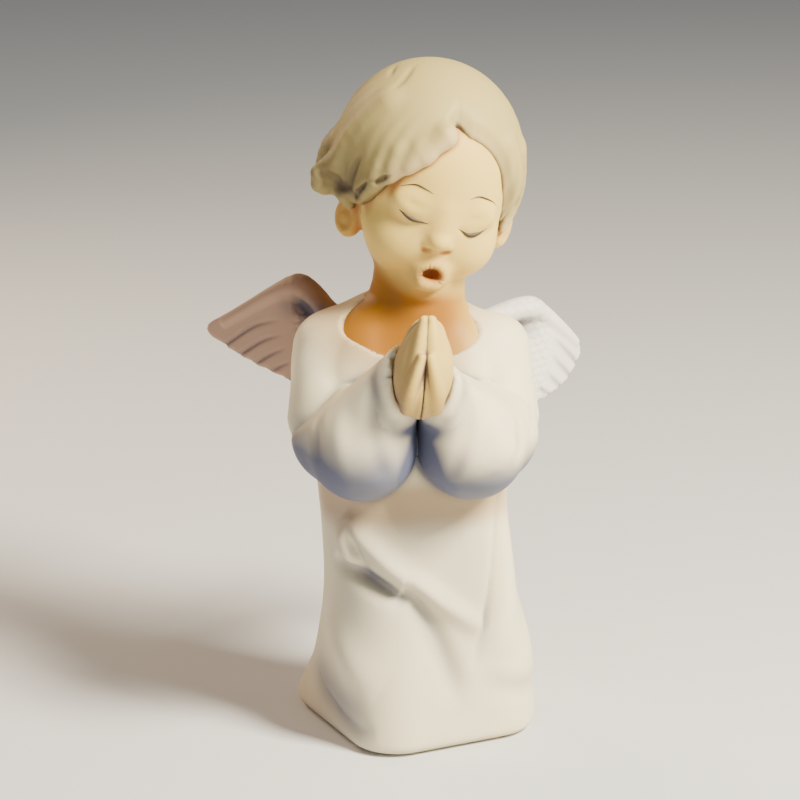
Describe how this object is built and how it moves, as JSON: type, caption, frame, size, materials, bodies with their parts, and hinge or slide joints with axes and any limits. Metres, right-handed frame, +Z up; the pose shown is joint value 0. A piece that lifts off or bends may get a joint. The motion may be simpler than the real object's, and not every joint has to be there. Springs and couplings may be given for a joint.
{
  "type": "angel figurine",
  "caption": "Kneeling angel figurine with outspread wings, bowed head and hands pressed together, a hollow casting on a felt pad.",
  "frame": {"origin": "on the resting plane, below the torso's upright axis", "axes": "+Z up, -Y the way the torso faces, +X the figure's own left-hand side"},
  "size_m": [0.0774, 0.0653, 0.1392],
  "materials": {
    "robe": "matte",
    "skin": "matte",
    "hair": "matte",
    "wing": "matte",
    "pin": "satin",
    "plate": "matte",
    "plug": "matte",
    "felt": "matte"
  },
  "bodies": {
    "root": {"closing_plate": "plate", "felt_pad": "felt", "hair": "hair", "head": "skin", "left_hand": "skin", "left_sleeve": "robe", "left_wing": "wing", "left_wing_pin": "pin", "neck_and_chest": "skin", "pour_hole_plug": "plug", "right_hand": "skin", "right_sleeve": "robe", "right_wing": "wing", "right_wing_pin": "pin", "robe": "robe"}
  },
  "joints": []
}
